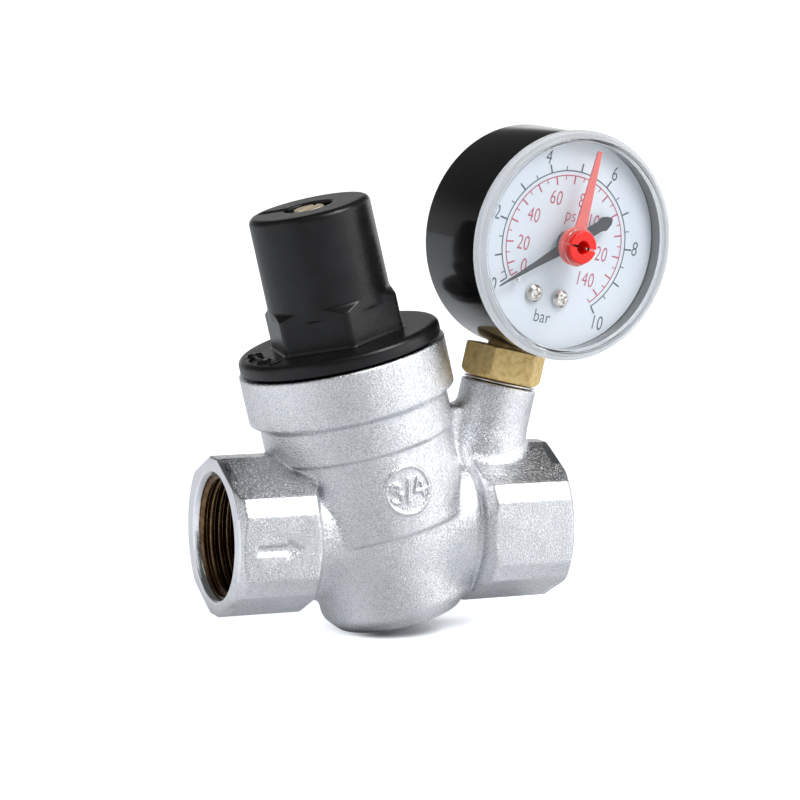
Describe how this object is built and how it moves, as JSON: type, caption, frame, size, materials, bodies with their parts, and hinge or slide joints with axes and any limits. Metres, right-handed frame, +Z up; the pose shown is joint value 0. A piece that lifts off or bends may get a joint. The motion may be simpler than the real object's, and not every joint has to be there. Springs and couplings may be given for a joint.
{
  "type": "pressure reducing valve",
  "caption": "Inline pressure reducing valve with female threaded ports, chromed body, leaning black bonnet with recessed adjusting screw, and a dial gauge on an inclined boss.",
  "frame": {"origin": "centre of the flat round foot under the valve body", "axes": "+X along the pipe in the direction of flow, +Z up, -Y towards the gauge dial's front; the bonnet axis leans 13.3 degrees from +Z towards -X"},
  "size_m": [0.1011, 0.0454, 0.1094],
  "materials": {
    "chrome_body": "satin bead-blasted chrome plate, machined end faces",
    "black_bonnet": "satin glass-filled nylon",
    "black_case": "glossy black ABS",
    "brass": "machined yellow brass",
    "steel": "drawn and turned stainless steel",
    "rubber": "matt black EPDM",
    "clear_window": "clear moulded plastic",
    "dial_white": "matt white paint with printed scales",
    "red_plastic": "glossy red plastic",
    "nickel": "bright nickel plate",
    "black_pointer": "matt black paint"
  },
  "bodies": {
    "housing": {"valve_body": "chrome_body", "strainer_screen": "steel", "bonnet": "black_bonnet", "bonnet_seal": "rubber", "main_spring": "steel", "seat_insert": "steel", "seat_o_ring": "rubber", "gauge_socket": "brass", "gauge_seal_washer": "nickel", "gauge_case": "black_case", "dial": "dial_white", "dial_screw_left": "nickel", "dial_screw_right": "nickel", "stop_pin": "nickel", "movement_base_plate": "brass", "movement_top_plate": "brass", "pillar_left": "brass", "pillar_right": "brass", "movement_screw_left": "steel", "movement_screw_right": "steel", "bourdon_tube": "brass", "bourdon_tip": "brass", "window": "clear_window"},
    "adjuster": {"adjusting_screw": "brass", "thrust_washer": "steel"},
    "spring_plate": {"spring_plate": "brass"},
    "piston": {"piston": "brass", "piston_upper_o_ring": "rubber", "piston_lower_o_ring": "rubber", "seat_disc": "rubber", "seal_retainer": "brass", "shutter_nut": "brass"},
    "sector": {"sector_gear": "brass"},
    "link": {"link": "steel"},
    "pointer": {"pinion_staff": "steel", "hairspring": "brass", "pointer": "black_pointer"},
    "set_hand": {"set_hand": "red_plastic", "set_hand_hub": "red_plastic"}
  },
  "joints": [
    {"name": "adjuster_turn", "type": "hinge", "parent": "housing", "child": "adjuster", "pos_m": [-0.01834, 0, 0.07758], "axis": [-0.23, 0, 0.9732], "range_deg": [-1081, 1081]},
    {"name": "spring_plate_slide", "type": "slide", "parent": "housing", "child": "spring_plate", "axis": [-0.23, 0, 0.9732], "range_m": [-0.00375, 0.00375], "deforming": ["main_spring"]},
    {"name": "piston_lift", "type": "slide", "parent": "housing", "child": "piston", "axis": [-0.23, 0, 0.9732], "range_m": [0, 0.0025]},
    {"name": "sector_turn", "type": "hinge", "parent": "housing", "child": "sector", "pos_m": [0.03618, -0.00616, 0.06807], "axis": [0.1589, -0.9866, -0.037], "range_deg": [0, 44.5]},
    {"name": "link_swing", "type": "hinge", "parent": "sector", "child": "link", "pos_m": [0.0407, -0.00638, 0.06494], "axis": [0.1589, -0.9866, -0.037], "range_deg": [-44.6, 0]},
    {"name": "pointer_turn", "type": "hinge", "parent": "housing", "child": "pointer", "pos_m": [0.03293, -0.01184, 0.08128], "axis": [0.1589, -0.9866, -0.037], "range_deg": [-267.1, 0]},
    {"name": "set_hand_turn", "type": "hinge", "parent": "housing", "child": "set_hand", "pos_m": [0.03388, -0.01776, 0.08105], "axis": [0.1589, -0.9866, -0.037], "continuous": true}
  ],
  "couplings": [
    {"joint": "adjuster_turn", "follows": "spring_plate_slide", "rad_per_m": 5026.5},
    {"joint": "pointer_turn", "follows": "sector_turn", "ratio": -6},
    {"joint": "link_swing", "follows": "sector_turn", "ratio": -1}
  ]
}
